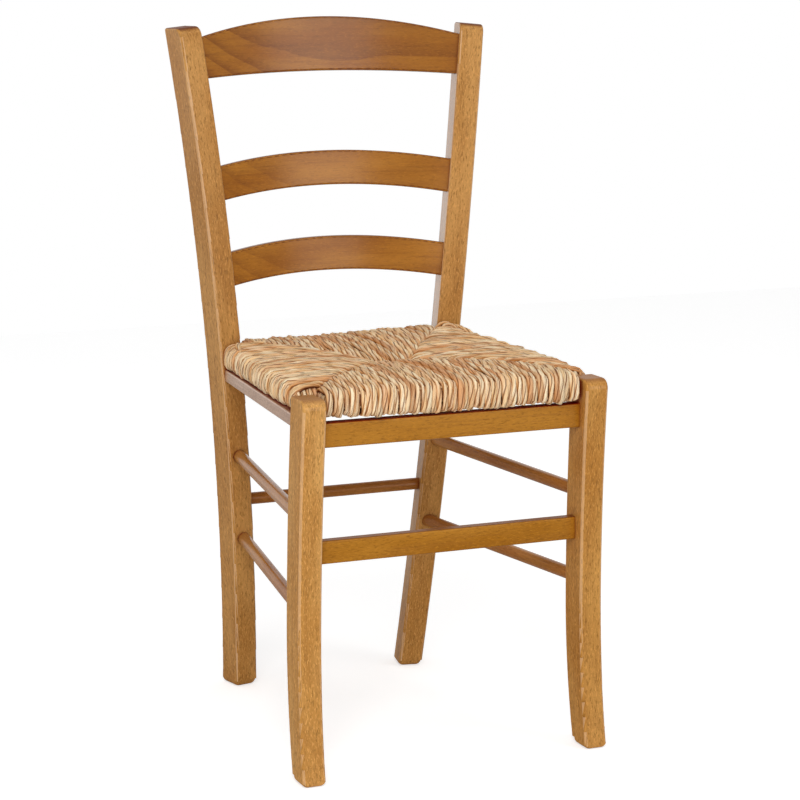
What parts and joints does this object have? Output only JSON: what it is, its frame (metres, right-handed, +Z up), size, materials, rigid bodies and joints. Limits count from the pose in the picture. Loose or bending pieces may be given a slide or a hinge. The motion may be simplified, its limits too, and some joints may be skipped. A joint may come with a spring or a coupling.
{
  "type": "ladderback chair",
  "caption": "Wooden ladderback dining chair with a woven rush seat, bowed back posts, curved slats and round side stretchers.",
  "frame": {"origin": "on the floor, in the middle of the chair's overall box", "axes": "+Z up; the chair faces -Y; +X is on the right of a viewer who looks at its front"},
  "size_m": [0.4382, 0.4627, 0.8911],
  "materials": {
    "stained_beech": "beech stained honey brown under a satin lacquer",
    "seat_frame_wood": "plain unstained wood, hidden by the rush",
    "rush": "twisted natural rush, straw coloured, dull",
    "rush_packing": "loose rush packing, hidden inside the seat",
    "screw_steel": "zinc plated steel"
  },
  "bodies": {
    "root": {"rear_post_left": "stained_beech", "rear_post_right": "stained_beech", "front_leg_left": "stained_beech", "front_leg_right": "stained_beech", "top_slat": "stained_beech", "middle_slat": "stained_beech", "lower_slat": "stained_beech", "front_apron": "stained_beech", "front_stretcher": "stained_beech", "rear_apron": "stained_beech", "left_apron": "stained_beech", "right_apron": "stained_beech", "left_upper_stretcher": "stained_beech", "right_upper_stretcher": "stained_beech", "left_lower_stretcher": "stained_beech", "right_lower_stretcher": "stained_beech", "rear_stretcher": "stained_beech", "seat_front_rail": "seat_frame_wood", "seat_rear_rail": "seat_frame_wood", "seat_left_rail": "seat_frame_wood", "seat_right_rail": "seat_frame_wood", "seat_front_left_block": "seat_frame_wood", "seat_front_right_block": "seat_frame_wood", "seat_rear_left_block": "seat_frame_wood", "seat_rear_right_block": "seat_frame_wood", "rush_seat": "rush", "seat_stuffing": "rush_packing", "seat_screws": "screw_steel"}
  },
  "joints": []
}
